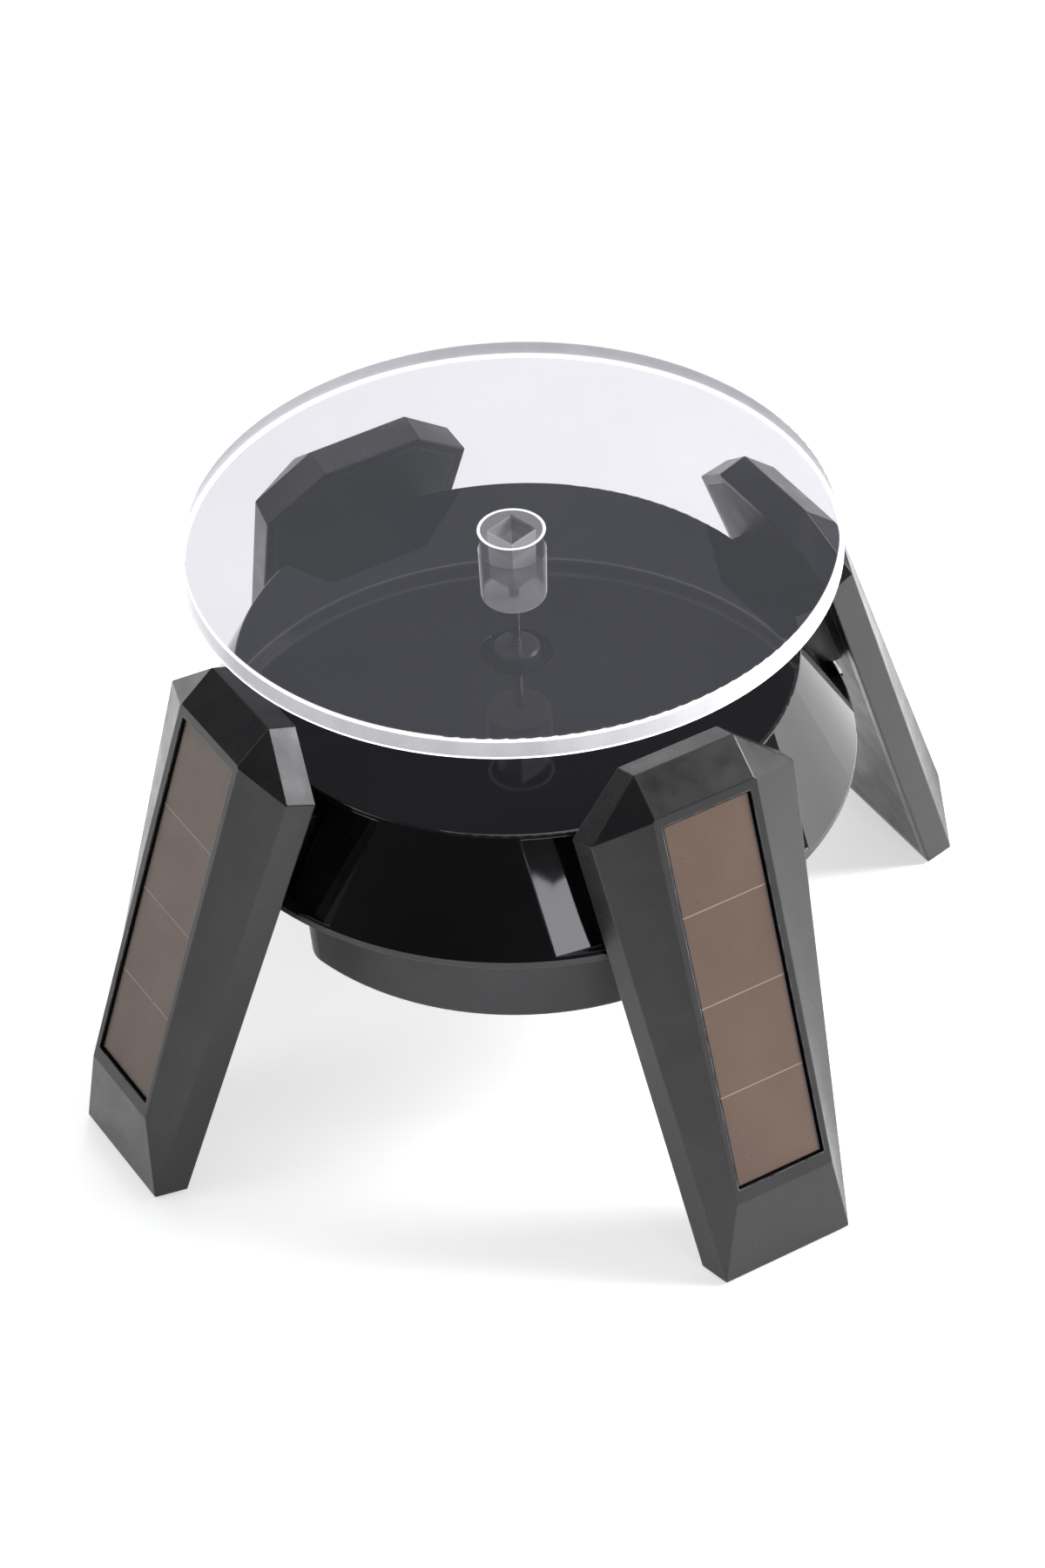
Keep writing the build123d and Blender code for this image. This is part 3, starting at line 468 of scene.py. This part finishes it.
def softbox(name, azimuth, elevation, distance, width, height, power, tint=(1, 1, 1)):
    """A soft area light that faces the stand from the given direction. Angles are in degrees."""
    data = bpy.data.lights.new(name, "AREA")
    data.shape = "RECTANGLE"
    data.size = width
    data.size_y = height
    data.energy = power
    data.color = tint
    lamp = bpy.data.objects.new(name, data)
    scene.collection.objects.link(lamp)
    a, e = radians(azimuth), radians(elevation)
    towards = Vector((cos(a) * cos(e), sin(a) * cos(e), sin(e)))
    lamp.location = LIT_POINT + distance * towards
    lamp.rotation_euler = towards.to_track_quat("Z", "Y").to_euler()


floor()
studio_world()
softbox("overhead_back", 73, 68, distance=1.5, width=0.7, height=0.7, power=7)
softbox("right_window", 19, 31, distance=1.3, width=0.4, height=0.7, power=21)
softbox("back_wall", 118, 9, distance=2.2, width=2.0, height=0.5, power=6.5)
softbox("left_box", 205, 40, distance=1.3, width=0.4, height=0.9, power=2)
softbox("front_strip", -40, 16, distance=1.4, width=0.26, height=0.34, power=1.5,
        tint=(0.93, 0.92, 1.0))


# ---------------------------------------------------------------- camera

CAMERA_PLACE = Vector((181.2, -666.9, 628.4)) * MM
CAMERA_HEADING = radians(105.2)
CAMERA_DOWN = radians(40.08)
CAMERA_ROLL = -0.0433
CAMERA_LENS = 115.23
CAMERA_SHIFT = 0.0018

forward = Vector((cos(CAMERA_HEADING) * cos(CAMERA_DOWN),
                  sin(CAMERA_HEADING) * cos(CAMERA_DOWN),
                  -sin(CAMERA_DOWN)))
level = Vector((sin(CAMERA_HEADING), -cos(CAMERA_HEADING), 0))
above = level.cross(forward)
right = cos(CAMERA_ROLL) * level + sin(CAMERA_ROLL) * above
up = cos(CAMERA_ROLL) * above - sin(CAMERA_ROLL) * level
turned = Matrix((right, up, -forward)).transposed().to_4x4()

camera_data = bpy.data.cameras.new("camera")
camera_data.lens = CAMERA_LENS
camera_data.sensor_width = 36
camera_data.shift_y = CAMERA_SHIFT
camera_data.clip_start = 0.02
camera = bpy.data.objects.new("camera", camera_data)
scene.collection.objects.link(camera)
camera.matrix_world = Matrix.Translation(CAMERA_PLACE) @ turned
scene.camera = camera
scene.view_settings.view_transform = "Standard"
